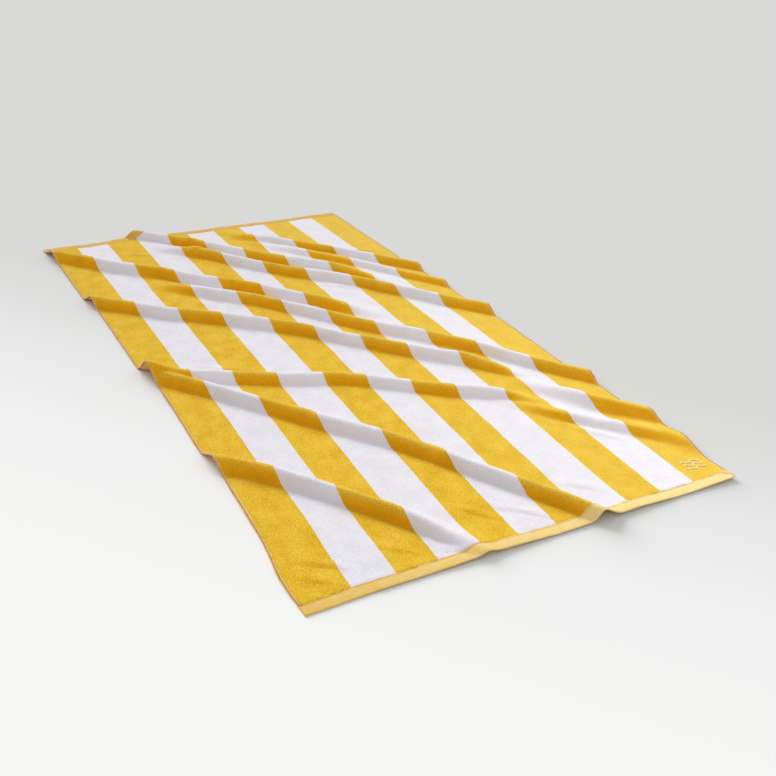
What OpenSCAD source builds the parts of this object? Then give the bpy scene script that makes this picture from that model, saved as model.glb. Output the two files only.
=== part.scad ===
// Striped beach towel lying on the ground in diagonal ripples.
//
// The towel is one woven cloth. Its ground weave carries eleven bands of pile in two
// colours, and its four edges are turned and sewn. The cloth is described flat, with
// u across and v along it, and drape() lifts and gathers each point into the folds.
// The origin is on the ground under the middle of the rippled towel, with +Y from the
// near hem to the far hem and +Z up.

/* [Cloth] */
// Width of one colour band
stripe_w = 80.5; // [50:0.5:110]
// Width of the first colour band, at the left edge
first_stripe_w = 85; // [50:1:115]
// Width of the last colour band, at the right edge
last_stripe_w = 82.5; // [50:0.5:115]
// Length of the towel when it is pulled flat
cloth_l = 1800; // [1200:10:2200]
// Thickness of the ground weave with its loop back
ground_t = 2.4; // [1.5:0.1:4]
// Height of the cut pile on the face
pile_t = 1.8; // [0.8:0.1:3]

/* [Hems] */
// Depth of the flat-woven hem at each end
end_hem_w = 25; // [15:1:45]
// Width of the narrow hem along each side
side_hem_w = 5; // [4:0.5:12]
// Thickness of the turned end hems
end_hem_t = 3.2; // [2:0.1:5]
// Thickness of the turned side hems
side_hem_t = 3.4; // [2:0.1:5]
// Thickness of the sewing thread as it lies on the hems
thread_d = 0.8; // [0.4:0.1:1.5]
// Distance from the inner edge of a hem to its row of stitches
stitch_inset = 2.5; // [1.5:0.5:4]

/* [Ripples] */
// Height of the folds, as a share of the heights in the fold list
fold_height = 1; // [0.5:0.05:1.3]
// Distance over which a fold rises from nothing at each of its ends
fold_fade = 140; // [80:10:200]
// Length that the folds take up, from the flat cloth to the rippled one
gather_l = 60; // [30:5:90]
// How sharp the crests are, where 1 is a plain wave
crest_sharpness = 1.3; // [1:0.1:1.6]
// How far the middle of the towel lies to the right of its two hems
sideways_bow = 18; // [0:1:40]
// How far the edge beside the left near corner is pulled out sideways
corner_pull = 9; // [0:1:20]

/* [Corner motif] */
// Length of each embroidered wave line
motif_w = 46; // [20:1:50]
// Distance between neighbouring wave lines
motif_pitch = 12; // [8:1:16]
// Height of each wave
motif_wave = 3.5; // [1:0.5:5]
// Width of the embroidered lines
motif_line = 3; // [1.2:0.1:4]
// How far the embroidery stands above the pile
motif_t = 0.6; // [0.3:0.1:1.5]

/* [Hidden] */

yellow = [0.91, 0.73, 0.22];
white = [0.94, 0.93, 0.96];
hem_yellow = [0.96, 0.84, 0.52];

// Eleven bands, one node for each, so that both edges are yellow
stripe_count = 11;
cloth_w = first_stripe_w + (stripe_count - 2) * stripe_w + last_stripe_w + 2 * side_hem_w;
rippled_l = cloth_l - gather_l;

// Shift that centres the rippled outline over the origin
centring = [3.1, -2.6];

// Grid on which the cloth is drawn
columns_per_stripe = 2;
row_pitch = 21;
body_rows = ceil((cloth_l - 2 * end_hem_w) / row_pitch);
hem_rows = 2;

// The folds, for a cloth 900 wide and 1800 long. Each crest runs from its left end to
// its right end with a slight bow, and its near face is steeper than its far face.
//   left u, left v, right u, right v, bow, height, near width, far width
design_w = 900;
design_l = 1800;
folds = [
    [-110,  570,  380,  -65, 60, 27, 34, 54],
    [-100, 1000,  690, -185, 60, 25, 32, 54],
    [-160,  970,  760,  380, 45, 21, 32, 54],
    [-140, 1460,  800,  490, 45, 25, 32, 54],
    [ 690,  560, 1040,   60,  0, 25, 44, 52],
    [ 600,  480,  940,  100,  0, 14, 30, 46],
    [ 780,  310, 1120, -130,  0, 12, 60, 70],
    [ 150, 1430, 1050,  250, 40, 23, 30, 52],
    [-120, 1850,  660,  960,  0, 25, 38, 60],
    [ 240, 1730, 1050,  710,  0, 23, 30, 54],
    [  80, 1970,  800, 1130, 50, 22, 30, 54],
    [ 520, 1670, 1040,  910,  0, 14, 28, 44],
    [ 480, 1770, 1050, 1070,  0, 19, 30, 48]
];

function clamp01(t) = min(1, max(0, t));
function smooth(t) = let (c = clamp01(t)) c * c * (3 - 2 * c);

// One fold's share of a cloth point: [sideways, along, up]
function fold_move(f, u, v) =
    let (
        across = (u - f[0]) / (f[2] - f[0]),
        crest_v = f[1] + (f[3] - f[1]) * across + f[4] * 4 * across * (1 - across),
        slope = (f[3] - f[1]) / (f[2] - f[0]),
        run = norm([1, slope]),
        off = (v - crest_v) / run,
        side = off < 0 ? f[6] : f[7],
        reach = clamp01(abs(off) / side),
        h = fold_height * f[5] * smooth((u - f[0]) / fold_fade) * smooth((f[2] - u) / fold_fade),
        // cloth taken up by the fold, and how much of it lies before this point
        taken = 0.615 * h * h * (1 / f[6] + 1 / f[7]),
        passed = 0.5 + (off < 0 ? -0.5 : 0.5) * (1 - pow(1 - reach, 2)),
        move = taken * (v / design_l - passed) / run
    )
    [-slope * move, move, h * pow((1 + cos(180 * reach)) / 2, crest_sharpness)];

function fold_sum(u, v, i = 0) =
    i == len(folds) ? [0, 0, 0] : fold_move(folds[i], u, v) + fold_sum(u, v, i + 1);

// Where a point of the flat cloth lies, at height h above the underside
function drape(u, v, h) =
    let (
        m = fold_sum(u * design_w / cloth_w, v * design_l / cloth_l),
        beside = exp(-pow((v - 85) / 80, 2) - pow(u / 70, 2)),
        corner = exp(-pow(v / 90, 2) - pow(u / 70, 2)),
        bow = sideways_bow * (sin(180 * v / cloth_l) - 0.5)
    )
    [
        u - cloth_w / 2 + m[0] + bow - corner_pull * beside + centring[0],
        v * rippled_l / cloth_l - rippled_l / 2 + m[1] - corner_pull / 2 * corner + centring[1],
        h + m[2]
    ];

// The u of the line that has this many bands to its left
function band_edge(count) =
    count <= 0 ? side_hem_w :
    count >= stripe_count ? cloth_w - side_hem_w :
    side_hem_w + first_stripe_w + (count - 1) * stripe_w;

// The u of every column line from the left edge of band a to the left edge of band b
function band_columns(a, b) = [
    for (i = [a * columns_per_stripe : b * columns_per_stripe])
        let (band = floor(i / columns_per_stripe), part = i / columns_per_stripe - band)
        band_edge(band) * (1 - part) + band_edge(band + 1) * part
];
function rows_between(v0, v1, n) = [for (i = [0 : n]) v0 + (v1 - v0) * i / n];
body_v = rows_between(end_hem_w, cloth_l - end_hem_w, body_rows);

// A closed panel of draped cloth between two heights, over a grid of us and vs.
// Each square of the grid is cut along the direction in which the folds run.
module panel(us, vs, low, high) {
    nu = len(us);
    nv = len(vs);
    layer = nu * nv;
    points = [
        for (h = [low, high]) for (v = vs) for (u = us) drape(u, v, h)
    ];
    function at(i, j, k) = k * layer + j * nu + i;
    top = [
        for (j = [0 : nv - 2]) for (i = [0 : nu - 2]) each [
            [at(i, j, 1), at(i, j + 1, 1), at(i + 1, j, 1)],
            [at(i + 1, j, 1), at(i, j + 1, 1), at(i + 1, j + 1, 1)]
        ]
    ];
    bottom = [
        for (j = [0 : nv - 2]) for (i = [0 : nu - 2]) each [
            [at(i, j, 0), at(i + 1, j, 0), at(i, j + 1, 0)],
            [at(i + 1, j, 0), at(i + 1, j + 1, 0), at(i, j + 1, 0)]
        ]
    ];
    ends = [
        for (i = [0 : nu - 2]) each [
            [at(i, 0, 0), at(i, 0, 1), at(i + 1, 0, 1)],
            [at(i, 0, 0), at(i + 1, 0, 1), at(i + 1, 0, 0)],
            [at(i, nv - 1, 0), at(i + 1, nv - 1, 1), at(i, nv - 1, 1)],
            [at(i, nv - 1, 0), at(i + 1, nv - 1, 0), at(i + 1, nv - 1, 1)]
        ]
    ];
    sides = [
        for (j = [0 : nv - 2]) each [
            [at(0, j, 0), at(0, j + 1, 1), at(0, j, 1)],
            [at(0, j, 0), at(0, j + 1, 0), at(0, j + 1, 1)],
            [at(nu - 1, j, 0), at(nu - 1, j, 1), at(nu - 1, j + 1, 1)],
            [at(nu - 1, j, 0), at(nu - 1, j + 1, 1), at(nu - 1, j + 1, 0)]
        ]
    ];
    polyhedron(points, concat(top, bottom, ends, sides), convexity = 8);
}

// A flat thread of the given width along a route of [u, v] points, from height low to high
module thread(route, width, low, high) {
    n = len(route);
    points = [
        for (i = [0 : n - 1])
            let (
                a = route[max(i - 1, 0)],
                b = route[min(i + 1, n - 1)],
                side = [b[1] - a[1], a[0] - b[0]] * width / 2 / norm(b - a),
                p = route[i]
            )
            each [
                drape(p[0] - side[0], p[1] - side[1], low),
                drape(p[0] + side[0], p[1] + side[1], low),
                drape(p[0] + side[0], p[1] + side[1], high),
                drape(p[0] - side[0], p[1] - side[1], high)
            ]
    ];
    walls = [
        for (i = [0 : n - 2]) for (k = [0 : 3])
            let (a = 4 * i + k, b = 4 * i + (k + 1) % 4)
            each [[a, b, a + 4], [b, b + 4, a + 4]]
    ];
    last = 4 * (n - 1);
    caps = [[0, 2, 1], [0, 3, 2], [last, last + 1, last + 2], [last, last + 2, last + 3]];
    polyhedron(points, concat(walls, caps), convexity = 8);
}

// The woven base of the cloth with its loop back, between the four hems
module ground_cloth() {
    color(white) panel(band_columns(0, stripe_count), body_v, 0, ground_t);
}

// One band of cut pile standing on the ground cloth, counted from 1 at the left
module pile_stripe(number) {
    color(number % 2 == 1 ? yellow : white)
        panel(band_columns(number - 1, number), body_v, ground_t, ground_t + pile_t);
}

// Columns across the whole towel, side hems included
full_columns = concat([0], band_columns(0, stripe_count), [cloth_w]);

module end_hem(v0, v1) {
    color(hem_yellow) panel(full_columns, rows_between(v0, v1, hem_rows), 0, end_hem_t);
}

module near_hem() {
    end_hem(0, end_hem_w);
}

module far_hem() {
    end_hem(cloth_l - end_hem_w, cloth_l);
}

module left_hem() {
    color(hem_yellow) panel([0, side_hem_w], body_v, 0, side_hem_t);
}

module right_hem() {
    color(hem_yellow) panel([cloth_w - side_hem_w, cloth_w], body_v, 0, side_hem_t);
}

// The rows of sewing run on the hems, just outside the pile
module cross_stitching(v) {
    inset = side_hem_w / 2;
    route = [for (u = full_columns) [min(max(u, inset), cloth_w - inset), v]];
    color(yellow) thread(route, thread_d, end_hem_t, end_hem_t + thread_d);
}

module long_stitching(u) {
    route = [for (v = body_v) [u, v]];
    color(yellow) thread(route, thread_d, side_hem_t, side_hem_t + thread_d);
}

module near_hem_stitching() {
    cross_stitching(end_hem_w - stitch_inset);
}

module far_hem_stitching() {
    cross_stitching(cloth_l - end_hem_w + stitch_inset);
}

module left_hem_stitching() {
    long_stitching(side_hem_w - stitch_inset);
}

module right_hem_stitching() {
    long_stitching(cloth_w - side_hem_w + stitch_inset);
}

// Three wave lines embroidered near the right end of the near hem
module corner_embroidery() {
    lines = 3;
    steps = 16;
    waves = 2;
    middle = [cloth_w - side_hem_w - stripe_w / 2, end_hem_w + stripe_w * 0.6];
    top = ground_t + pile_t;
    color(hem_yellow)
        for (k = [0 : lines - 1])
            thread(
                [
                    for (i = [0 : steps])
                        middle + [
                            motif_w * (i / steps - 0.5),
                            motif_pitch * (k - 1) + motif_wave * sin(360 * waves * i / steps)
                        ]
                ],
                motif_line, top, top + motif_t
            );
}

ground_cloth();
pile_stripe(1);  // pile_stripe_1
pile_stripe(2);  // pile_stripe_2
pile_stripe(3);  // pile_stripe_3
pile_stripe(4);  // pile_stripe_4
pile_stripe(5);  // pile_stripe_5
pile_stripe(6);  // pile_stripe_6
pile_stripe(7);  // pile_stripe_7
pile_stripe(8);  // pile_stripe_8
pile_stripe(9);  // pile_stripe_9
pile_stripe(10);  // pile_stripe_10
pile_stripe(11);  // pile_stripe_11
near_hem();
far_hem();
left_hem();
right_hem();
near_hem_stitching();
far_hem_stitching();
left_hem_stitching();
right_hem_stitching();
corner_embroidery();
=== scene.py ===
"""Striped beach towel lying on the ground in diagonal ripples.

The towel is a woven ground cloth with a loop back, eleven bands of cut pile, two flat
woven end hems, two narrow side hems, rows of lockstitch and a small embroidered corner.
Every cloth point is given flat, in millimetres, with u across and v along the towel,
and drape() lays it in the folds.
"""
import math

import bpy
import numpy as np
from mathutils import Matrix, Vector


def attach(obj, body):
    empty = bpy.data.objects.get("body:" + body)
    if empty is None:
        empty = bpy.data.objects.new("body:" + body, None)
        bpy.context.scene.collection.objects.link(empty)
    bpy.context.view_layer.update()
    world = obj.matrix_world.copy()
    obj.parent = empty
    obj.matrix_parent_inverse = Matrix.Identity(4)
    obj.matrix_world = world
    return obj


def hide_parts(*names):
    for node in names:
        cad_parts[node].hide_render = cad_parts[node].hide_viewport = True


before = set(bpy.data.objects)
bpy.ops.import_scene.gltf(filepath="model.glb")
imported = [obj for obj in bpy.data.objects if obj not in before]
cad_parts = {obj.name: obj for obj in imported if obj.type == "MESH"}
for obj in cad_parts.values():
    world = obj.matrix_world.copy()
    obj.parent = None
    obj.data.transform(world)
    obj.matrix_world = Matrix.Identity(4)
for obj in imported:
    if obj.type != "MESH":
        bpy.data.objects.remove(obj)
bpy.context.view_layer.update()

# ---------------------------------------------------------------------------
# Sizes of the towel, in millimetres, the same as in the part

BAND = 80.5
BANDS = 11
FIRST_BAND = 85.0
LAST_BAND = 82.5
SIDE_HEM = 5.0
END_HEM = 25.0
WIDTH = FIRST_BAND + (BANDS - 2) * BAND + LAST_BAND + 2 * SIDE_HEM
LENGTH = 1800.0
GATHERED = 60.0
BOW = 18.0
CENTRING = (3.1, -2.6)
GROUND = 2.4
PILE = 1.8
END_HEM_T = 3.2
SIDE_HEM_T = 3.4
STITCH_INSET = 2.5
FADE = 140.0
# Way on the ground of the fold fronts turned towards the near hem, which the back light leaves in shade; the
# pile finish paints them darker
SHADED_FRONT_WAY = np.array((-0.77, -0.64, 0.0))
DESIGN = 900.0
HEM_LIFT = 4.0
CORNER_PULL = 9.0
CORNER_DROP = 4.5
SHARP = 1.3
MOTIF_WIDTH = 46.0
MOTIF_PITCH = 12.0
MOTIF_WAVE = 3.5

# The main folds, for a cloth DESIGN wide:
# left u, left v, right u, right v, bow, height, near width, far width
FOLDS = (
    (-110, 570, 380, -65, 60, 27, 34, 54),
    (-100, 1000, 690, -185, 60, 25, 32, 54),
    (-160, 970, 760, 380, 45, 21, 32, 54),
    (-140, 1460, 800, 490, 45, 25, 32, 54),
    (690, 560, 1040, 60, 0, 25, 44, 52),
    (600, 480, 940, 100, 0, 14, 30, 46),
    (780, 310, 1120, -130, 0, 12, 60, 70),
    (150, 1430, 1050, 250, 40, 23, 30, 52),
    (-120, 1850, 660, 960, 0, 25, 38, 60),
    (240, 1730, 1050, 710, 0, 23, 30, 54),
    (80, 1970, 800, 1130, 50, 22, 30, 54),
    (520, 1670, 1040, 910, 0, 14, 28, 44),
    (480, 1770, 1050, 1070, 0, 19, 30, 48),
)

# Short wrinkles that only the finished cloth has, in the same form, with their own fade
WRINKLES = (
    (150, 1560, 290, 1470, 4, 5, 14, 24),
    (320, 1600, 450, 1540, 4, 4, 12, 22),
    (330, 1690, 440, 1650, 2, 3, 12, 20),
    (170, 1660, 260, 1630, 2, 2.5, 12, 20),
    (20, 130, 120, 60, 6, 3.5, 14, 22),
    (10, 90, 90, 30, 4, 3, 12, 20),
    (150, 110, 250, 40, 4, 2.5, 12, 20),
    (250, 60, 330, 10, 4, 3, 12, 20),
    (330, 160, 430, 60, 4, 3, 12, 20),
    (400, 130, 510, 30, 4, 3, 12, 20),
    (560, 150, 650, 60, 5, 3, 12, 22),
    (700, 300, 800, 190, 5, 3, 14, 24),
    (120, 900, 250, 800, 5, 2.5, 14, 24),
    (420, 700, 540, 560, 5, 2.5, 14, 24),
    (560, 1250, 680, 1130, 5, 2.5, 14, 24),
    (20, 1330, 120, 1260, 5, 3, 14, 24),
    (760, 1500, 880, 1400, 5, 3, 14, 24),
)
WRINKLE_FADE = 45.0


# ---------------------------------------------------------------------------
# The lie of the cloth

def smooth(t):
    c = np.clip(t, 0.0, 1.0)
    return c * c * (3 - 2 * c)


def fold_move(fold, u, v, fade):
    """One fold's share of each cloth point: sideways, along and up."""
    u0, v0, u1, v1, bow, height, near, far = fold
    across = (u - u0) / (u1 - u0)
    crest = v0 + (v1 - v0) * across + bow * 4 * across * (1 - across)
    slope = (v1 - v0) / (u1 - u0)
    run = math.hypot(1, slope)
    off = (v - crest) / run
    reach = np.clip(np.abs(off) / np.where(off < 0, near, far), 0, 1)
    lift = height * smooth((u - u0) / fade) * smooth((u1 - u) / fade)
    taken = 0.615 * lift * lift * (1 / near + 1 / far)
    passed = 0.5 + np.where(off < 0, -0.5, 0.5) * (1 - (1 - reach) ** 2)
    move = taken * (v / LENGTH - passed) / run
    return -slope * move, move, lift * ((1 + np.cos(math.pi * reach)) / 2) ** SHARP


def middle(u, v):
    """The underside of the cloth at each point, in millimetres."""
    u, v = np.broadcast_arrays(np.asarray(u, float), np.asarray(v, float))
    x = u - WIDTH / 2 + BOW * (np.sin(math.pi * v / LENGTH) - 0.5) + CENTRING[0]
    y = (v - LENGTH / 2) * (LENGTH - GATHERED) / LENGTH + CENTRING[1]
    z = 0.9 * (1 + relief(u, v, 75, 2)) * smooth((v - 20) / 60)
    waver = 5 * relief(u, v, 120, 3) + 2 * relief(u, v, 45, 4)
    beside = np.exp(-((v - 85) / 80) ** 2 - (u / 70) ** 2)
    corner = np.exp(-(v / 90) ** 2 - (u / 70) ** 2)
    x, y = x - CORNER_PULL * beside, y - CORNER_DROP * corner
    for folds, fade in ((FOLDS, FADE), (WRINKLES, WRINKLE_FADE)):
        for fold in folds:
            sideways, along, up = fold_move(fold, u * DESIGN / WIDTH, v + waver, fade)
            x, y, z = x + sideways, y + along, z + up
    z = z + HEM_LIFT * np.exp(-(v / 45) ** 2) * smooth((u - 60) / 200) * (1 + 0.5 * np.sin(u / 45))
    return np.stack((x, y, z), -1)


def facing(u, v):
    """The direction in which the face of the cloth looks at each point."""
    step = 1.0
    across = middle(u + step, v) - middle(u - step, v)
    along = middle(u, v + step) - middle(u, v - step)
    out = np.cross(across, along)
    return out / np.linalg.norm(out, axis=-1, keepdims=True)


def bend(u, v):
    """How the cloth curves: above nothing in a hollow, below nothing over a crest."""
    step = 7.0

    def height(a, b):
        return middle(a, b)[..., 2]

    around = height(u + step, v) + height(u - step, v) + height(u, v + step) + height(u, v - step)
    return 10 * (around - 4 * height(u, v)) / step**2


def drape(u, v, height):
    """Cloth points at a height above the underside, in metres."""
    u, v, height = np.broadcast_arrays(
        np.asarray(u, float), np.asarray(v, float), np.asarray(height, float)
    )
    return (middle(u, v) + facing(u, v) * height[..., None]) / 1000


def relief(u, v, size, seed):
    """Soft lumps from -1 to 1 over the cloth, about size millimetres apart."""
    grid = np.random.default_rng(seed).uniform(-1, 1, (128, 128))
    a, b = u / size, v / size
    i, j = np.floor(a).astype(int), np.floor(b).astype(int)
    p, q = smooth(a - i), smooth(b - j)
    low = grid[j % 128, i % 128] * (1 - p) + grid[j % 128, (i + 1) % 128] * p
    high = grid[(j + 1) % 128, i % 128] * (1 - p) + grid[(j + 1) % 128, (i + 1) % 128] * p
    return low * (1 - q) + high * q


# ---------------------------------------------------------------------------
# Mesh building

def piece(name, points, faces, material, flat_uv=None, sharp=None):
    """A named object from points in metres, with the flat cloth place of each as its UV."""
    mesh = bpy.data.meshes.new(name)
    mesh.from_pydata(np.asarray(points).reshape(-1, 3).tolist(), [], faces)
    if flat_uv is not None:
        corners = np.empty(len(mesh.loops), int)
        mesh.loops.foreach_get("vertex_index", corners)
        layer = mesh.uv_layers.new(name="cloth")
        layer.data.foreach_set("uv", (np.asarray(flat_uv).reshape(-1, 2)[corners] / 1000).ravel())
    mesh.polygons.foreach_set("use_smooth", [True] * len(mesh.polygons))
    if sharp is not None:
        ends = np.empty(len(mesh.edges) * 2, int)
        mesh.edges.foreach_get("vertices", ends)
        rim = np.asarray(sharp).ravel()[ends.reshape(-1, 2)].all(axis=1)
        mesh.attributes.new("sharp_edge", "BOOLEAN", "EDGE").data.foreach_set("value", rim)
    mesh.materials.append(material)
    mesh.validate()
    obj = bpy.data.objects.new(name, mesh)
    bpy.context.scene.collection.objects.link(obj)
    return obj


def grid_faces(rows, columns, start=0, flip=False):
    """Quads over a grid of points that is stored row by row."""
    j, i = np.meshgrid(np.arange(rows - 1), np.arange(columns - 1), indexing="ij")
    a = (start + j * columns + i).ravel()
    quads = np.stack((a, a + 1, a + columns + 1, a + columns), -1)
    return (quads[:, ::-1] if flip else quads).tolist()


def slab(name, u, v, low, high, material):
    """A closed sheet of cloth over a grid of flat places, between two heights."""
    rows, columns = u.shape
    layer = rows * columns
    points = np.concatenate((drape(u, v, low), drape(u, v, high)))
    faces = grid_faces(rows, columns, 0, True) + grid_faces(rows, columns, layer)
    at = np.arange(layer).reshape(rows, columns)
    rim = np.concatenate((at[0, :-1], at[:-1, -1], at[-1, :0:-1], at[:0:-1, 0]))
    after = np.roll(rim, -1)
    faces += np.stack((rim, after, after + layer, rim + layer), -1).tolist()
    edge = np.zeros((rows, columns), bool)
    edge[0, :] = edge[-1, :] = edge[:, 0] = edge[:, -1] = True
    flat = np.stack((u, v), -1)
    made = piece(name, points, faces, material, np.stack((flat, flat)), np.stack((edge, edge)))
    # The first attribute is how far the face turns towards the shaded fold fronts, for their painted shade;
    # the second is the curvature, for painted shade in hollows and painted highlight on crests
    for trait, values in (("lean", facing(u, v) @ SHADED_FRONT_WAY), ("bend", bend(u, v))):
        made.data.attributes.new(trait, "FLOAT", "POINT").data.foreach_set(
            "value", np.stack((values, values)).ravel()
        )
    return made


def swept(name, u, v, height, material):
    """A closed bar of cloth: each row of the grids is one ring round it."""
    rows, columns = u.shape
    points = drape(u, v, height)
    j, i = np.meshgrid(np.arange(rows - 1), np.arange(columns), indexing="ij")
    a, b = (j * columns + i).ravel(), (j * columns + (i + 1) % columns).ravel()
    faces = np.stack((a, a + columns, b + columns, b), -1).tolist()
    faces.append(list(range(columns)))
    faces.append(list(range((rows - 1) * columns, rows * columns))[::-1])
    return piece(name, points, faces, material, np.stack((u, v), -1))


# ---------------------------------------------------------------------------
# Node trees

class Socket:
    """An output in a node tree, so that sums on it are written as sums."""

    def __init__(self, tree, output):
        self.tree, self.output = tree, output

    def maths(self, operation, a, b):
        return self.tree.node("ShaderNodeMath", {"operation": operation}, {0: a, 1: b})

    def __add__(self, other):
        return self.maths("ADD", self, other)

    def __sub__(self, other):
        return self.maths("SUBTRACT", self, other)

    def __rsub__(self, other):
        return self.maths("SUBTRACT", other, self)

    def __mul__(self, other):
        return self.maths("MULTIPLY", self, other)

    def __truediv__(self, other):
        return self.maths("DIVIDE", self, other)

    def __mod__(self, other):
        return self.maths("FLOORED_MODULO", self, other)


class Tree:
    """A node tree with one way of adding any node."""

    def __init__(self, tree):
        self.tree = tree

    def node(self, kind, settings=None, inputs=None, out=0):
        made = self.tree.nodes.new(kind)
        for key, value in (settings or {}).items():
            if key == "stops":
                ramp = made.color_ramp
                while len(ramp.elements) < len(value):
                    ramp.elements.new(1.0)
                for element, (place, colour) in zip(ramp.elements, value):
                    element.position, element.color = place, (*colour, 1.0)
            else:
                setattr(made, key, value)
        for key, value in (inputs or {}).items():
            if isinstance(value, Socket):
                self.tree.links.new(value.output, made.inputs[key])
            else:
                made.inputs[key].default_value = value
        return Socket(self, made.outputs[out])

    def noise(self, place, scale, detail=2.0, roughness=0.5, stretch=None):
        if stretch is not None:
            place = self.node("ShaderNodeMapping", {}, {"Vector": place, "Scale": stretch})
        return self.node(
            "ShaderNodeTexNoise",
            {"noise_dimensions": "3D"},
            {"Vector": place, "Scale": scale, "Detail": detail, "Roughness": roughness},
        )

    def blend(self, share, a, b, mode="MIX"):
        """Mixes two colours, each a socket or three linear values."""
        a, b = (c if isinstance(c, Socket) else (*c, 1.0) for c in (a, b))
        return self.node(
            "ShaderNodeMix",
            {"data_type": "RGBA", "blend_type": mode},
            {0: share, 6: a, 7: b},
            out=2,
        )

    def spread(self, value, low, high, start=0.0, end=1.0):
        """Maps a value from one range to another, held at the ends."""
        return self.node(
            "ShaderNodeMapRange",
            {"clamp": True},
            {"Value": value, 1: low, 2: high, 3: start, 4: end},
        )


def tone(red, green, blue):
    """A linear colour from everyday 0 to 255 values."""
    def one(c):
        c /= 255
        return c / 12.92 if c <= 0.04045 else ((c + 0.055) / 1.055) ** 2.4
    return one(red), one(green), one(blue)


def finish_of(name, recipe, sheen=0.0, sheen_tint=(1, 1, 1), sheen_roughness=0.5, gloss=0.3):
    """A material whose recipe gives the colour, roughness, bump height and bump depth."""
    material = bpy.data.materials.new(name)
    material.use_nodes = True
    tree = Tree(material.node_tree)
    shader = next(n for n in material.node_tree.nodes if n.type == "BSDF_PRINCIPLED")
    colour, roughness, height, depth = recipe(tree)
    bump = tree.node("ShaderNodeBump", {}, {"Strength": 1.0, "Distance": depth, "Height": height})
    for key, value in (("Base Color", colour), ("Roughness", roughness), ("Normal", bump)):
        material.node_tree.links.new(value.output, shader.inputs[key])
    shader.inputs["Specular IOR Level"].default_value = gloss
    shader.inputs["Sheen Weight"].default_value = sheen
    shader.inputs["Sheen Tint"].default_value = (*sheen_tint, 1.0)
    shader.inputs["Sheen Roughness"].default_value = sheen_roughness
    return material


# ---------------------------------------------------------------------------
# Finishes

def cloth_place(tree):
    return tree.node("ShaderNodeUVMap", {"uv_map": "cloth"})


def cut_pile(root, body, tips_and_painted_light, painted_crease_shade, speck):
    """Sheared velour with painted light and shade: a deep root colour on fold faces turned towards the near
    hem as painted shade, darker hollows as painted shade, pale crests and a paler right side as painted
    highlight.
    """
    def recipe(tree):
        place = cloth_place(tree)
        lean = tree.node("ShaderNodeAttribute", {"attribute_name": "lean"}, {}, out="Fac")
        hollow = tree.node("ShaderNodeAttribute", {"attribute_name": "bend"}, {}, out="Fac")
        tufts = tree.noise(place, 560.0, 1.0, 0.6)
        grain = tree.noise(place, 250.0, 2.0, 0.7)
        patches = tree.noise(place, 30.0, 3.0, 0.55, (1.0, 0.7, 1.0))
        shade = tufts * 0.35 + grain * 0.4 + patches * 0.25
        # Painted shade: fold faces turned towards the near hem take the deep root colour
        front_shade_share = tree.spread(lean + (grain - 0.5) * 0.25, 0.1, 0.6)
        colour = tree.blend(front_shade_share, body, root)
        # Painted shade in the hollows at the feet of the folds, and a little on the shaded fronts
        colour = tree.blend(tree.spread(hollow + lean * 0.4, 0.2, 1.1, 0.0, 0.55), colour, painted_crease_shade)
        # Painted highlight: the pale tip colour over the crests of the folds
        colour = tree.blend(tree.spread(hollow, -0.5, -1.4, 0.0, 0.5), colour, tips_and_painted_light)
        colour = tree.blend(tree.spread(shade, 0.52, 0.4, 0.0, 0.8), colour, speck)
        colour = tree.blend(
            tree.spread(shade, 0.5, 0.6, 0.0, 0.65) * (1 - front_shade_share * 0.75), colour, tips_and_painted_light
        )
        across = tree.node("ShaderNodeSeparateXYZ", {}, {"Vector": place}, out=0)
        # Painted light: the pile pales towards the right side where the light washes it, less on the shaded
        # fronts
        painted_light_right = tree.spread(across, 0.4, 0.85, 0.0, 0.4) * (1 - front_shade_share * 0.85)
        colour = tree.blend(painted_light_right, colour, tips_and_painted_light)
        roughness = tree.spread(patches, 0.3, 0.7, 0.88, 1.0)
        return colour, roughness, tufts * 0.6 + grain * 0.4, 0.0010
    return recipe


def loop_back(tree):
    """Uncut loops in rows, striped like the face but softer in colour."""
    place = cloth_place(tree)
    across = tree.node("ShaderNodeSeparateXYZ", {}, {"Vector": place})
    first = (SIDE_HEM + FIRST_BAND - BAND) / 1000
    across = tree.node("ShaderNodeMath", {"operation": "MAXIMUM"}, {0: across, 1: first + 0.001})
    last = first + (BANDS * BAND - 1) / 1000
    across = tree.node("ShaderNodeMath", {"operation": "MINIMUM"}, {0: across, 1: last})
    band = ((across - first) / (2 * BAND / 1000)) % 1.0
    is_white = tree.node("ShaderNodeMath", {"operation": "GREATER_THAN"}, {0: band, 1: 0.5})
    loops = tree.node(
        "ShaderNodeTexVoronoi",
        {"feature": "SMOOTH_F1"},
        {"Vector": place, "Scale": 430.0, "Smoothness": 0.4, "Randomness": 0.7},
    )
    patches = tree.noise(place, 60.0, 3.0, 0.6)
    yellow = tree.blend(tree.spread(loops, 0.1, 0.6), tone(246, 192, 60), tone(226, 158, 24))
    white = tree.blend(tree.spread(loops, 0.1, 0.6), tone(242, 240, 238), tone(220, 214, 208))
    colour = tree.blend(is_white, yellow, white)
    colour = tree.blend(tree.spread(patches, 0.35, 0.7, 0.0, 0.2), colour, tone(250, 236, 205))
    return colour, tree.spread(patches, 0.3, 0.7, 0.9, 1.0), 1 - loops, 0.0012


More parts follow.
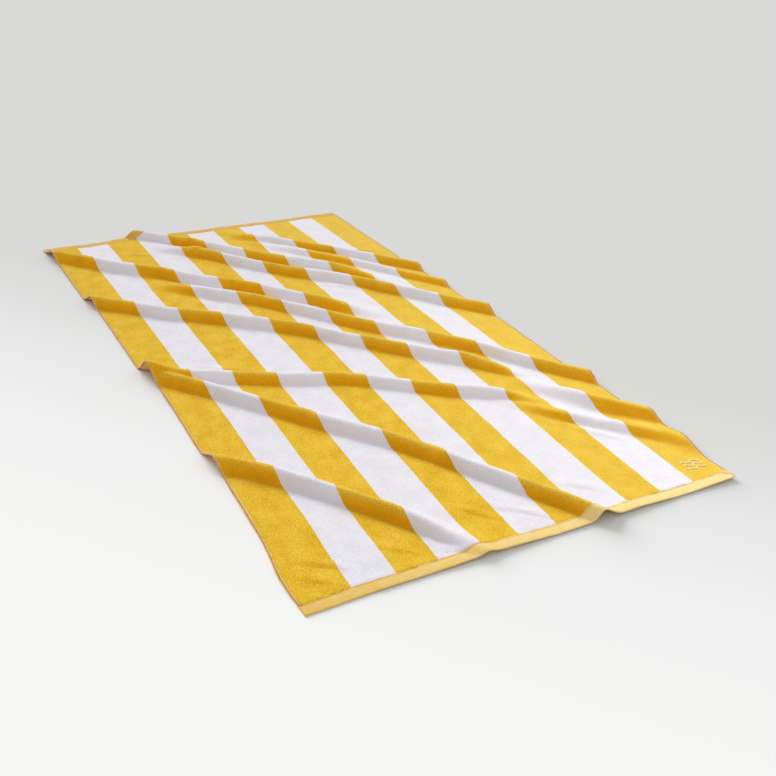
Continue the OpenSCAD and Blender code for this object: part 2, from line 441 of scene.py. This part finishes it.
def plain_weave(warp, weft, pitch, painted_shade_left=None):
    """Flat weave of two threads over and under each other, with painted shade deepening the colour to the
    left if a shade colour is given.
    """
    def recipe(tree):
        place = tree.node("ShaderNodeMapping", {}, {
            "Vector": cloth_place(tree), "Rotation": (0.0, 0.0, 0.0),
        })
        across = tree.node("ShaderNodeSeparateXYZ", {}, {"Vector": place}, out=0)
        along = tree.node("ShaderNodeSeparateXYZ", {}, {"Vector": place}, out=1)
        turns = 2 * math.pi / pitch
        a = tree.node("ShaderNodeMath", {"operation": "SINE"}, {0: across * turns})
        b = tree.node("ShaderNodeMath", {"operation": "SINE"}, {0: along * turns})
        over = a * b * 0.5 + 0.5
        slubs = tree.noise(place, 240.0, 2.0, 0.6, (0.25, 1.0, 1.0))
        patches = tree.noise(place, 45.0, 2.0, 0.5)
        colour = tree.blend(over, weft, warp)
        if painted_shade_left is not None:
            # Painted shade: the colour deepens towards the hem's left end
            left = tree.node("ShaderNodeSeparateXYZ", {}, {"Vector": cloth_place(tree)}, out=0)
            colour = tree.blend(tree.spread(left, 0.0, 0.7, 0.85, 0.0), colour, painted_shade_left)
        colour = tree.blend(tree.spread(slubs, 0.45, 0.75, 0.0, 0.35), colour, tone(255, 244, 214))
        colour = tree.blend(tree.spread(patches, 0.3, 0.6, 0.25, 0.0), colour, weft)
        roughness = tree.spread(slubs, 0.3, 0.7, 0.7, 0.9)
        return colour, roughness, over * 0.7 + slubs * 0.3, 0.00035
    return recipe


def twisted_thread(colour_a, colour_b):
    def recipe(tree):
        place = tree.node("ShaderNodeTexCoord", {}, {}, out=3)
        ply = tree.noise(place, 1900.0, 1.0, 0.5, (1.0, 0.5, 1.0))
        colour = tree.blend(tree.spread(ply, 0.35, 0.65), colour_a, colour_b)
        return colour, tree.spread(ply, 0.3, 0.7, 0.45, 0.65), ply, 0.0001
    return recipe


yellow_velour = finish_of(
    "yellow_velour",
    cut_pile(
        # Colours in order: root (painted shade on fold fronts), body, tips (also painted highlight and
        # light), painted crease shade, speck
        tone(240, 168, 4), tone(236, 191, 47), tone(246, 212, 92), tone(216, 136, 2),
        tone(206, 156, 24),
    ),
    sheen=0.25, sheen_tint=(1.0, 0.92, 0.62), sheen_roughness=0.35, gloss=0.05,
)
white_velour = finish_of(
    "white_velour",
    cut_pile(
        # Colours in order: root (painted shade on fold fronts), body, tips (also painted highlight and
        # light), painted crease shade, speck
        tone(236, 228, 231), tone(235, 232, 239), tone(247, 246, 251), tone(222, 212, 215),
        tone(222, 218, 226),
    ),
    sheen=0.2, sheen_tint=(0.97, 0.97, 1.0), sheen_roughness=0.35, gloss=0.05,
)
loop_terry = finish_of("loop_terry", loop_back, sheen=0.2, gloss=0.15)
# The near hem's colour deepens to the left as painted shade
near_hem_weave = finish_of(
    "near_hem_weave",
    plain_weave(tone(255, 236, 168), tone(250, 214, 116), 0.0016, painted_shade_left=tone(232, 180, 54)),
    sheen=0.15, gloss=0.2,
)
far_hem_weave = finish_of(
    "far_hem_weave",
    plain_weave(tone(236, 190, 76), tone(218, 160, 40), 0.0016),
    sheen=0.15, gloss=0.2,
)
side_hem_weave = finish_of(
    "side_hem_weave",
    plain_weave(tone(252, 214, 140), tone(240, 170, 80), 0.0014),
    sheen=0.15, gloss=0.25,
)
sewing_thread = finish_of(
    "sewing_thread", twisted_thread(tone(230, 176, 72), tone(250, 212, 120)), gloss=0.4
)
embroidery_floss = finish_of(
    "embroidery_floss", twisted_thread(tone(255, 238, 170), tone(255, 250, 222)), gloss=0.5
)


# ---------------------------------------------------------------------------
# Camera

camera_data = bpy.data.cameras.new("camera")
camera_data.lens = 48.85
camera_data.sensor_width = 36
camera_data.clip_start, camera_data.clip_end = 0.05, 100
camera = bpy.data.objects.new("camera", camera_data)
bpy.context.scene.collection.objects.link(camera)
bpy.context.scene.camera = camera
heading, tilt, roll = (math.radians(a) for a in (30.08, 27.29, 2.64))
look = Vector((
    math.sin(heading) * math.cos(tilt), math.cos(heading) * math.cos(tilt), -math.sin(tilt)
))
right = look.cross(Vector((0, 0, 1))).normalized()
up = right.cross(look)
turned_right = right * math.cos(roll) + up * math.sin(roll)
turned_up = up * math.cos(roll) - right * math.sin(roll)
camera.matrix_world = Matrix.Translation((-0.998, -2.026, 1.051)) @ Matrix(
    (turned_right, turned_up, -look)
).transposed().to_4x4()


# ---------------------------------------------------------------------------
# Ground cloth and bands of pile

def border(u, v):
    """Wavers each line between two bands by less than a tuft, the outer ones not at all."""
    inside = smooth((u - SIDE_HEM) / 20) * smooth((WIDTH - SIDE_HEM - u) / 20)
    return u + inside * (0.35 * relief(v * 1.0, u * 0 + 7.3, 3.1, 5) + 0.5 * relief(v, u, 60, 6))


def band_edge(count):
    """The u of the line with this many bands to its left."""
    if count == 0:
        return SIDE_HEM
    if count == BANDS:
        return WIDTH - SIDE_HEM
    return SIDE_HEM + FIRST_BAND + (count - 1) * BAND


def rim_distance(u, v):
    return np.minimum(
        np.minimum(u - SIDE_HEM, WIDTH - SIDE_HEM - u),
        np.minimum(v - END_HEM, LENGTH - END_HEM - v),
    )


def puckers(u, v):
    """Small gathers where the end hems pull on the pile."""
    reach = np.exp(-(np.minimum(v - END_HEM, LENGTH - END_HEM - v) / 22) ** 2)
    return reach * (1.1 * relief(u, v * 0.25, 17, 21) + 0.5 * relief(u, v * 0.5, 7, 22))


def pile_top(u, v):
    """The height of the nap, rounded off towards the hems."""
    nap = 0.3 * relief(u, v * 0.8, 5.5, 11) + 0.25 * relief(u, v * 0.8, 13, 12)
    nap += 0.4 * relief(u, v, 34, 13)
    rounded = 0.9 * (1 - np.clip(rim_distance(u, v) / 2.6, 0, 1)) ** 2
    return GROUND + PILE + nap + puckers(u, v) - rounded


body_rows = np.linspace(END_HEM, LENGTH - END_HEM, 661)
stripes = []
for number in range(1, BANDS + 1):
    u, v = np.meshgrid(np.linspace(band_edge(number - 1), band_edge(number), 31), body_rows)
    u = border(u, v)
    stripe = slab(
        f"pile_band_{number}", u, v, np.full_like(u, GROUND), pile_top(u, v),
        yellow_velour if number % 2 else white_velour,
    )
    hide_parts(f"pile_stripe_{number}")
    stripes.append(stripe)

u, v = np.meshgrid(
    np.linspace(SIDE_HEM, WIDTH - SIDE_HEM, 133), np.linspace(END_HEM, LENGTH - END_HEM, 265)
)
underside = 0.25 + 0.2 * relief(u, v, 9, 31)
ground = slab("ground_cloth_loops", u, v, underside, np.full_like(u, GROUND + 0.4), loop_terry)
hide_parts("ground_cloth")


# ---------------------------------------------------------------------------
# Hems

def hem_ring(width, thickness, groove_at):
    """A turned hem's outline from the inner bottom edge round to the inner top edge.

    Each point is (distance in from the outer fold, height)."""
    bottom = [(width + 0.6, 0.5), (width - 2, 0.15), (width * 0.7, 0.0), (width * 0.4, 0.0)]
    fold = [
        (thickness * (0.5 - 0.5 * math.sin(a)), thickness * (0.5 - 0.5 * math.cos(a)))
        for a in (math.pi * k / 8 for k in range(0, 9))
    ]
    dip = 0.45
    top = [
        (width * 0.3, thickness + 0.12),
        (width * 0.5, thickness + 0.05),
        (groove_at - 1.6, thickness),
        (groove_at - 0.7, thickness - dip * 0.7),
        (groove_at, thickness - dip),
        (groove_at + 0.7, thickness - dip * 0.7),
        (groove_at + 1.4, thickness - 0.1),
        (width + 0.1, thickness - 0.25),
        (width + 0.6, thickness - 0.8),
    ]
    return np.array(bottom + fold + top)


def end_hem(name, node, far):
    """A hem across one end, with its two ends closed and slightly pinched."""
    ring = hem_ring(END_HEM, END_HEM_T, END_HEM - STITCH_INSET)
    along = np.concatenate((
        [0.0, 0.35, 1.0, 2.0],
        np.linspace(4, WIDTH - 4, 358),
        [WIDTH - 2, WIDTH - 1, WIDTH - 0.35, WIDTH],
    ))
    u, inward = np.meshgrid(along, ring[:, 0], indexing="ij")
    height = np.broadcast_to(ring[:, 1], u.shape).copy()
    ends = np.clip(np.minimum(u, WIDTH - u) / 2.0, 0, 1)
    pinch = 0.45 + 0.55 * np.sqrt(1 - (1 - ends) ** 2)
    height = END_HEM_T / 2 + (height - END_HEM_T / 2) * pinch
    on_top = smooth((height - 1.2) / 1.6)
    height += on_top * (0.28 * relief(u, inward * 0.4, 9, 41) + 0.3 * relief(u, inward, 28, 42))
    inward = inward + 0.35 * relief(u, inward * 0, 40, 43) * (inward < 6)
    v = LENGTH - inward if far else inward
    if far:
        u, v, height = u[:, ::-1], v[:, ::-1], height[:, ::-1]
    hem = swept(name, u, v, height, far_hem_weave if far else near_hem_weave)
    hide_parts(node)
    return hem


def side_hem(name, node, right_side):
    """A narrow rolled hem along one side."""
    ring = hem_ring(SIDE_HEM, SIDE_HEM_T, SIDE_HEM - STITCH_INSET)
    along = np.linspace(END_HEM - 1, LENGTH - END_HEM + 1, 660)
    v, inward = np.meshgrid(along, ring[:, 0], indexing="ij")
    height = np.broadcast_to(ring[:, 1], v.shape).copy()
    on_top = smooth((height - 1.2) / 1.6)
    height += on_top * (0.3 * relief(v, inward * 0.4, 8, 51) + 0.3 * relief(v, inward, 30, 52))
    inward = inward + 0.5 * relief(v, inward * 0, 26, 53) * (inward < 5)
    u = WIDTH - inward if right_side else inward
    if not right_side:
        u, v, height = u[:, ::-1], v[:, ::-1], height[:, ::-1]
    hem = swept(name, u, v, height, side_hem_weave)
    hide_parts(node)
    return hem


def corner_tuck():
    """The folded triangle where the near hem meets the right side hem."""
    steps = 14
    s, t = np.meshgrid(np.linspace(0, 1, steps), np.linspace(0.04, 1, steps))
    u = WIDTH - 0.8 - 23 * (1 - s) * t
    v = 2.0 + 24.0 * t
    swell = np.minimum(np.minimum(s, 1 - s), 1 - t) * 4
    top = END_HEM_T + 0.5 + 0.6 * np.clip(swell, 0, 1)
    tuck = slab("near_right_corner_tuck", u, v, np.full_like(u, END_HEM_T - 0.6), top, side_hem_weave)
    return tuck


hems = [
    corner_tuck(),
    end_hem("near_end_hem", "near_hem", False),
    end_hem("far_end_hem", "far_hem", True),
    side_hem("left_side_hem", "left_hem", False),
    side_hem("right_side_hem", "right_hem", True),
]


# ---------------------------------------------------------------------------
# Sewing and embroidery, laid along lines by geometry nodes

def stitch_shape(name, length, width, height, material, sides=6):
    """One stitch: a short thread that rises from the cloth and dips back into it."""
    steps = 6
    points, faces = [], []
    for k in range(steps + 1):
        t = k / steps
        full = 0.45 + 0.55 * math.sin(math.pi * t)
        for m in range(sides):
            a = 2 * math.pi * m / sides
            points.append((
                length * (t - 0.5),
                width / 2 * full * math.cos(a),
                height * (math.sin(math.pi * t) * 0.7 - 0.3) + width / 2 * full * math.sin(a),
            ))
    for k in range(steps):
        for m in range(sides):
            a, b = k * sides + m, k * sides + (m + 1) % sides
            faces.append((a, b, b + sides, a + sides))
    faces.append(tuple(range(sides))[::-1])
    faces.append(tuple(range(steps * sides, (steps + 1) * sides)))
    return piece(name, np.array(points) / 1000, faces, material)


def stitch_tree():
    """Copies a stitch along a line, turned to the line and to the cloth's face."""
    group = bpy.data.node_groups.new("stitch_rows", "GeometryNodeTree")
    for name, kind, way in (
        ("Line", "NodeSocketGeometry", "INPUT"),
        ("Stitch", "NodeSocketObject", "INPUT"),
        ("Spacing", "NodeSocketFloat", "INPUT"),
        ("Turn", "NodeSocketFloat", "INPUT"),
        ("Looseness", "NodeSocketFloat", "INPUT"),
        ("Seed", "NodeSocketInt", "INPUT"),
        ("Thread", "NodeSocketMaterial", "INPUT"),
        ("Stitches", "NodeSocketGeometry", "OUTPUT"),
    ):
        group.interface.new_socket(name, in_out=way, socket_type=kind)
    tree = Tree(group)
    given = group.nodes.new("NodeGroupInput")
    take = lambda name: Socket(tree, given.outputs[name])
    curve = tree.node("GeometryNodeMeshToCurve", {}, {0: take("Line")})
    spaced = tree.node(
        "GeometryNodeResampleCurve", {"mode": "LENGTH"}, {"Curve": curve, "Length": take("Spacing")}
    )
    tangent = tree.node("GeometryNodeInputTangent")
    face = tree.node("GeometryNodeInputNamedAttribute", {"data_type": "FLOAT_VECTOR"}, {"Name": "face"})
    along = tree.node(
        "FunctionNodeAxesToRotation",
        {"primary_axis": "Z", "secondary_axis": "X"},
        {"Primary Axis": face, "Secondary Axis": tangent},
    )
    slack = tree.node(
        "FunctionNodeRandomValue",
        {"data_type": "FLOAT"},
        {2: take("Looseness") * -1.0, 3: take("Looseness"), "Seed": take("Seed")},
        out=1,
    )
    about = tree.node(
        "FunctionNodeAxisAngleToRotation",
        {},
        {"Axis": (0.0, 0.0, 1.0), "Angle": slack + take("Turn")},
    )
    turned = tree.node("FunctionNodeRotateRotation", {"rotation_space": "LOCAL"}, {0: along, 1: about})
    shape = tree.node(
        "GeometryNodeObjectInfo", {"transform_space": "ORIGINAL"}, {"Object": take("Stitch")}, out="Geometry"
    )
    copies = tree.node(
        "GeometryNodeInstanceOnPoints", {}, {"Points": spaced, "Instance": shape, "Rotation": turned}
    )
    real = tree.node("GeometryNodeRealizeInstances", {}, {0: copies})
    dressed = tree.node("GeometryNodeSetMaterial", {}, {"Geometry": real, "Material": take("Thread")})
    result = group.nodes.new("NodeGroupOutput")
    group.links.new(dressed.output, result.inputs["Stitches"])
    return group


rows_of_stitches = stitch_tree()


def sew(name, lines, stitch, spacing, material, turn=0.0, looseness=0.05, seed=1):
    """Stitches along one or more lines of (u, v, height) cloth points, as one plain mesh."""
    points, faces, edges = [], [], []
    for line in lines:
        u, v, height = np.array(line, float).T
        start = len(points)
        points += drape(u, v, height).tolist()
        faces += facing(u, v).tolist()
        edges += [(start + k, start + k + 1) for k in range(len(u) - 1)]
    mesh = bpy.data.meshes.new(name + "_line")
    mesh.from_pydata(points, edges, [])
    mesh.attributes.new("face", "FLOAT_VECTOR", "POINT").data.foreach_set(
        "vector", np.array(faces).ravel()
    )
    guide = bpy.data.objects.new(name + "_line", mesh)
    bpy.context.scene.collection.objects.link(guide)
    modifier = guide.modifiers.new("stitches", "NODES")
    modifier.node_group = rows_of_stitches
    for item in rows_of_stitches.interface.items_tree:
        values = {
            "Stitch": stitch, "Spacing": spacing / 1000, "Turn": turn,
            "Looseness": looseness, "Seed": seed, "Thread": material,
        }
        if item.in_out == "INPUT" and item.name in values:
            modifier[item.identifier] = values[item.name]
    graph = bpy.context.evaluated_depsgraph_get()
    made = bpy.data.meshes.new_from_object(guide.evaluated_get(graph))
    guide.modifiers.remove(modifier)
    bpy.data.objects.remove(guide)
    made.name = name
    made.polygons.foreach_set("use_smooth", [True] * len(made.polygons))
    sewn = bpy.data.objects.new(name, made)
    bpy.context.scene.collection.objects.link(sewn)
    return sewn


lock = stitch_shape("lockstitch", 3.3, 0.75, 0.5, sewing_thread)
strand = stitch_shape("satin_strand", 3.4, 0.55, 1.6, embroidery_floss)


def along_u(v, height, start, end):
    return [(u, v, height) for u in np.arange(start, end + 0.1, 3.0)]


def along_v(u, height):
    return [(u, v, height) for v in np.arange(END_HEM + 1, LENGTH - END_HEM, 3.0)]


end_row, side_row = END_HEM - STITCH_INSET, SIDE_HEM - STITCH_INSET
rows = (
    ("near_lockstitch", "near_hem_stitching", along_u(end_row, END_HEM_T - 0.1, 3, WIDTH - 3)),
    ("far_lockstitch", "far_hem_stitching", along_u(LENGTH - end_row, END_HEM_T - 0.1, 3, WIDTH - 3)),
    ("left_lockstitch", "left_hem_stitching", along_v(side_row, SIDE_HEM_T - 0.1)),
    ("right_lockstitch", "right_hem_stitching", along_v(WIDTH - side_row, SIDE_HEM_T - 0.1)),
)
sewing = []
for seed, (name, node, line) in enumerate(rows):
    row = sew(name, [line], lock, 3.6, sewing_thread, seed=seed)
    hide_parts(node)
    sewing.append(row)

motif_u, motif_v = WIDTH - SIDE_HEM - BAND / 2, END_HEM + BAND * 0.6
waves = [
    [
        (
            motif_u + MOTIF_WIDTH * (t - 0.5),
            motif_v + MOTIF_PITCH * k + MOTIF_WAVE * math.sin(4 * math.pi * t),
            GROUND + PILE + 0.8,
        )
        for t in np.linspace(0, 1, 85)
    ]
    for k in (-1, 0, 1)
]
motif = sew(
    "embroidered_waves", waves, strand, 0.42, embroidery_floss,
    turn=math.radians(78), looseness=0.03, seed=9,
)
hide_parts("corner_embroidery")
for shape in (lock, strand):
    bpy.data.objects.remove(shape)


# ---------------------------------------------------------------------------
# Floor and light

def floor_finish(tree):
    """A pale floor with painted shade that darkens it away from the viewer's left, in place of the light
    falling off.
    """
    place = tree.node("ShaderNodeTexCoord", {}, {}, out=3)
    x = tree.node("ShaderNodeSeparateXYZ", {}, {"Vector": place}, out=0)
    y = tree.node("ShaderNodeSeparateXYZ", {}, {"Vector": place}, out=1)
    away = x * 0.79 + y * 0.613
    share = tree.spread(away, -1.0, 0.2)
    # Painted shade: the floor greys away from the viewer as the light falls off
    painted_falloff = tree.node(
        "ShaderNodeValToRGB",
        {"stops": (
            (0.0, tone(246, 246, 244)), (0.31, tone(241, 241, 240)), (0.5, tone(234, 234, 233)),
            (0.7, tone(225, 225, 224)), (0.93, tone(217, 217, 215)),
        )},
        {"Fac": share},
    )
    grain = tree.noise(place, 30.0, 3.0)
    return painted_falloff, tree.spread(grain, 0.3, 0.7, 0.9, 1.0), grain, 0.00002


floor = piece(
    "floor",
    [(-30, -30, 0), (30, -30, 0), (30, 30, 0), (-30, 30, 0)],
    [(0, 1, 2, 3)],
    finish_of("floor_painted_falloff", floor_finish, gloss=0.0),
)

world = bpy.data.worlds.new("studio")
bpy.context.scene.world = world
world.use_nodes = True
background = next(n for n in world.node_tree.nodes if n.type == "BACKGROUND")
background.inputs["Color"].default_value = (0.97, 0.985, 1.0, 1.0)
background.inputs["Strength"].default_value = 0.64


def softbox(name, place, target, size, power, colour):
    data = bpy.data.lights.new(name, "AREA")
    data.shape, data.size, data.size_y = "RECTANGLE", size[0], size[1]
    data.energy, data.color = power, colour
    lamp = bpy.data.objects.new(name, data)
    bpy.context.scene.collection.objects.link(lamp)
    lamp.location = place
    lamp.rotation_euler = (Vector(target) - Vector(place)).to_track_quat("-Z", "Y").to_euler()
    return lamp


def low_sun(name, direction, strength, softness):
    """A broad, even back light."""
    data = bpy.data.lights.new(name, "SUN")
    data.energy, data.angle, data.color = strength, math.radians(softness), (1.0, 0.985, 0.965)
    lamp = bpy.data.objects.new(name, data)
    bpy.context.scene.collection.objects.link(lamp)
    lamp.rotation_euler = Vector(direction).to_track_quat("-Z", "Y").to_euler()
    return lamp


def lights_only(lamp, name, objects):
    """Keeps a lamp's light on the given objects."""
    group = bpy.data.collections.new(name)
    for obj in objects:
        group.objects.link(obj)
    lamp.light_linking.receiver_collection = group


cloth_sun = low_sun("cloth_back_light", (-0.2, -0.78, -0.6), 1.45, 24)
floor_sun = low_sun("floor_back_light", (0.1, -0.9, -0.4), 2.95, 42)
side_box = softbox(
    "right_softbox", (0.95, -0.75, 1.1), (0.35, -0.4, 0.0), (0.8, 0.8), 4.6, (1.0, 0.99, 0.97)
)

bpy.context.scene.view_settings.view_transform = "Standard"
bpy.context.scene.view_settings.look = "None"


# ---------------------------------------------------------------------------
# Declarations

towel_pieces = stripes + hems + sewing + [motif]
for part in [ground] + towel_pieces:
    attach(part, "root")
lights_only(cloth_sun, "towel", [ground] + towel_pieces)
lights_only(side_box, "towel_again", [ground] + towel_pieces)
lights_only(floor_sun, "ground_only", [floor])
